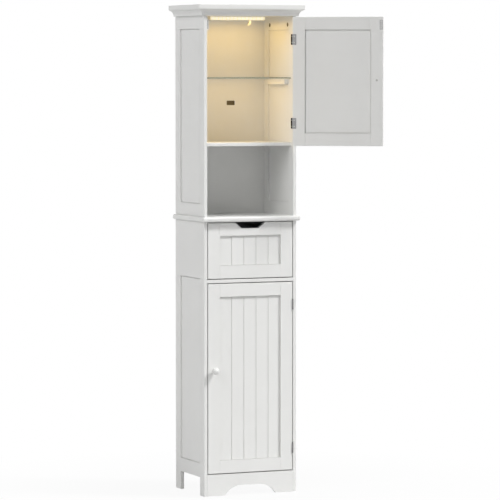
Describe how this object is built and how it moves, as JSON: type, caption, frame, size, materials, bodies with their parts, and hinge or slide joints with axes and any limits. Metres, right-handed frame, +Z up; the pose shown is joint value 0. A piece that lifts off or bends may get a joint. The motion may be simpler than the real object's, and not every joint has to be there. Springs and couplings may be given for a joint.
{
  "type": "tall bathroom cabinet",
  "caption": "Tall narrow white painted cabinet with a crown, a lit compartment behind a hinged door, an open niche, a drawer with a finger notch and a lower cupboard.",
  "frame": {"origin": "on the floor, under the middle of the body's width and depth, in the plane of the feet", "axes": "+Z up, +X to the right seen from the front, the doors and the drawer face -Y"},
  "size_m": [0.6252, 0.461, 1.7],
  "materials": {
    "white_paint": "satin white lacquer on MDF",
    "back_hardboard": "white foil on thin hardboard",
    "drawer_board": "white foil on board",
    "knob_lacquer": "glossy white lacquer on turned wood",
    "white_plastic": "moulded white plastic",
    "lamp_plastic": "moulded white plastic",
    "lamp_glow": "frosted warm white light diffuser",
    "clear_glass": "clear float glass",
    "hinge_steel": "dark plated",
    "strike_steel": "zinc plated",
    "screw_steel": "zinc plated",
    "cam_zinc": "dark zinc die casting",
    "magnet_steel": "plain steel pole plate"
  },
  "bodies": {
    "carcass": {"crown_board": "white_paint", "top_board": "white_paint", "crown_cove_front": "white_paint", "crown_cove_left": "white_paint", "crown_cove_right": "white_paint", "upper_side_frame_left": "white_paint", "upper_side_frame_right": "white_paint", "upper_side_panel_left": "white_paint", "upper_side_panel_right": "white_paint", "cam_locks": "cam_zinc", "lower_side_frame_left": "white_paint", "lower_side_frame_right": "white_paint", "lower_side_panel_left": "white_paint", "lower_side_panel_right": "white_paint", "shelf_pins": "screw_steel", "upper_back_panel": "back_hardboard", "lower_back_panel": "back_hardboard", "table_top": "white_paint", "fixed_shelf": "white_paint", "divider_board": "white_paint", "bottom_board": "white_paint", "glass_shelf": "clear_glass", "glass_shelf_cleats": "white_paint", "lower_shelf": "white_paint", "front_apron": "white_paint", "hinge_frame_leaves": "hinge_steel", "hinge_pins": "hinge_steel", "door_catches": "white_plastic", "catch_magnets": "magnet_steel", "drawer_runners": "drawer_board", "lamp_housing": "lamp_plastic", "lamp_lens": "lamp_glow", "top_hook": "white_plastic"},
    "upper_door": {"upper_door_stile_left": "white_paint", "upper_door_stile_right": "white_paint", "upper_door_rail_top": "white_paint", "upper_door_rail_bottom": "white_paint", "upper_door_panel": "white_paint", "upper_door_knob": "knob_lacquer", "upper_door_knob_screw": "screw_steel", "upper_door_strike_plate": "strike_steel", "upper_door_hinge_leaves": "hinge_steel"},
    "lower_door": {"lower_door_stile_left": "white_paint", "lower_door_stile_right": "white_paint", "lower_door_rail_top": "white_paint", "lower_door_rail_bottom": "white_paint", "lower_door_panel": "white_paint", "lower_door_knob": "knob_lacquer", "lower_door_knob_screw": "screw_steel", "lower_door_strike_plate": "strike_steel", "lower_door_hinge_leaves": "hinge_steel"},
    "drawer": {"drawer_front_stile_left": "white_paint", "drawer_front_stile_right": "white_paint", "drawer_front_rail_top": "white_paint", "drawer_front_rail_bottom": "white_paint", "drawer_front_panel": "white_paint", "drawer_side_left": "drawer_board", "drawer_side_right": "drawer_board", "drawer_back": "drawer_board", "drawer_bottom": "drawer_board"}
  },
  "joints": [
    {"name": "upper_door_hinge", "type": "hinge", "parent": "carcass", "child": "upper_door", "pos_m": [0.1605, -0.1326, 1.4355], "axis": [0, 0, 1], "range_deg": [-145, 35]},
    {"name": "lower_door_hinge", "type": "hinge", "parent": "carcass", "child": "lower_door", "pos_m": [0.1605, -0.1326, 0.4075], "axis": [0, 0, 1], "range_deg": [0, 180]},
    {"name": "drawer_slide", "type": "slide", "parent": "carcass", "child": "drawer", "axis": [0, -1, 0], "range_m": [0, 0.15]}
  ]
}
